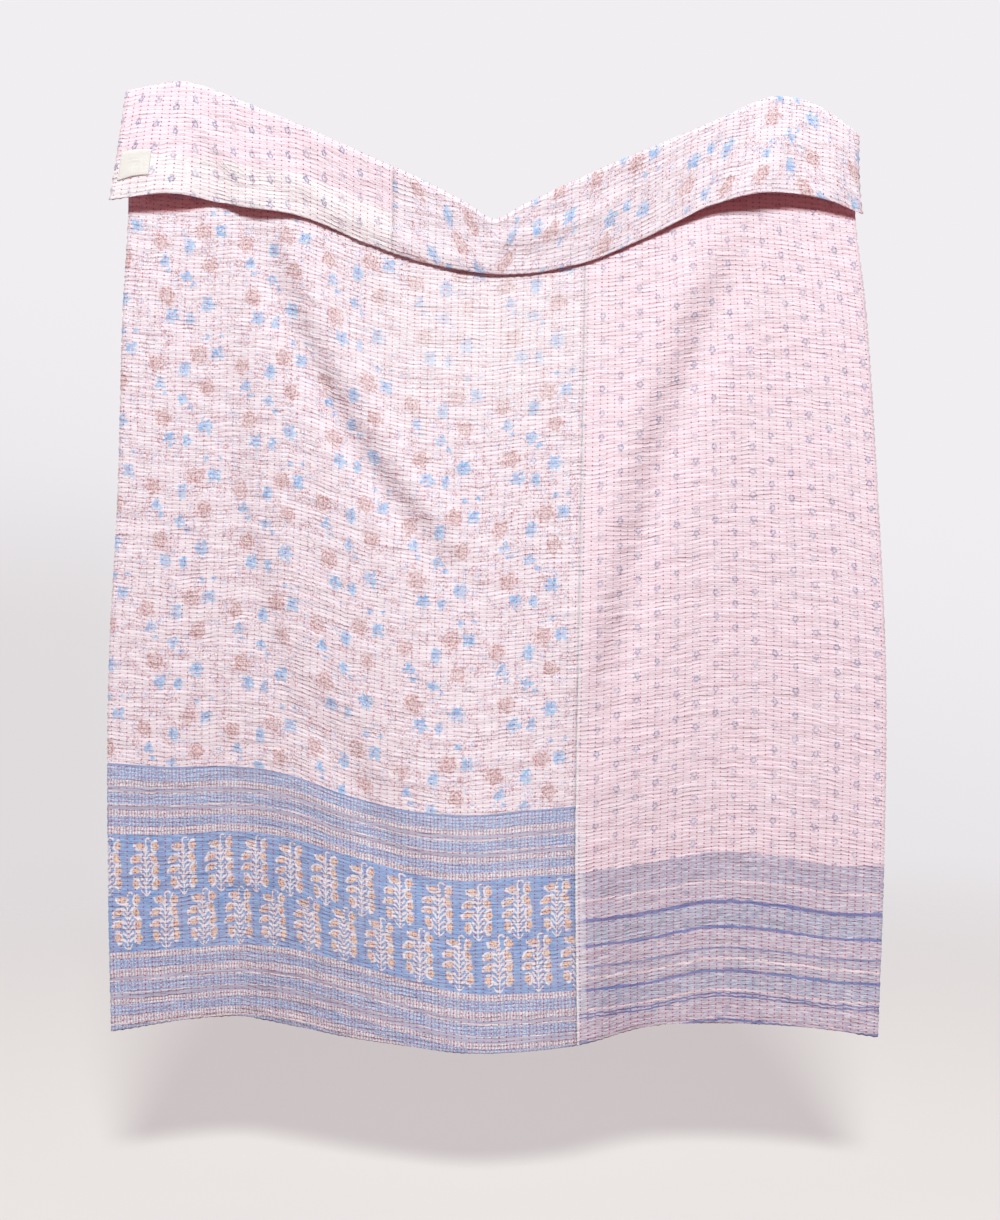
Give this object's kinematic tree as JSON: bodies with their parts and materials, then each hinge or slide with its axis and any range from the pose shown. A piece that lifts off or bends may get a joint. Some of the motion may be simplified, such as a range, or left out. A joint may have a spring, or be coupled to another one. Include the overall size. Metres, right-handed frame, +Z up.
{
  "type": "kantha quilt",
  "caption": "Thin two-layer stitched cotton quilt, hanging from its folded top edge with a short flap over the front, a dip between its held corners and a wavy hem.",
  "frame": {"origin": "the lowest point of the folded top edge, at the middle of the cloth's width", "axes": "+X across the cloth to the viewer's right, +Z up, -Y out of the front, to where the flap falls"},
  "size_m": [1.5312, 0.1753, 1.8811],
  "materials": {
    "floral_cotton": "matt thin cotton, pale lilac ground printed with small blue and dusty rose flowers and a blue border, faded and puckered by rows of running stitch",
    "sprig_cotton": "matt thin cotton, pale pink ground printed with small grey-blue sprigs and a striped border, faded and puckered by rows of running stitch",
    "label_cotton": "matt unbleached cotton, blank"
  },
  "bodies": {
    "root": {"front_floral_panel": "floral_cotton", "front_sprig_panel": "sprig_cotton", "back_sprig_panel": "sprig_cotton", "back_floral_panel": "floral_cotton", "label": "label_cotton"}
  },
  "joints": []
}
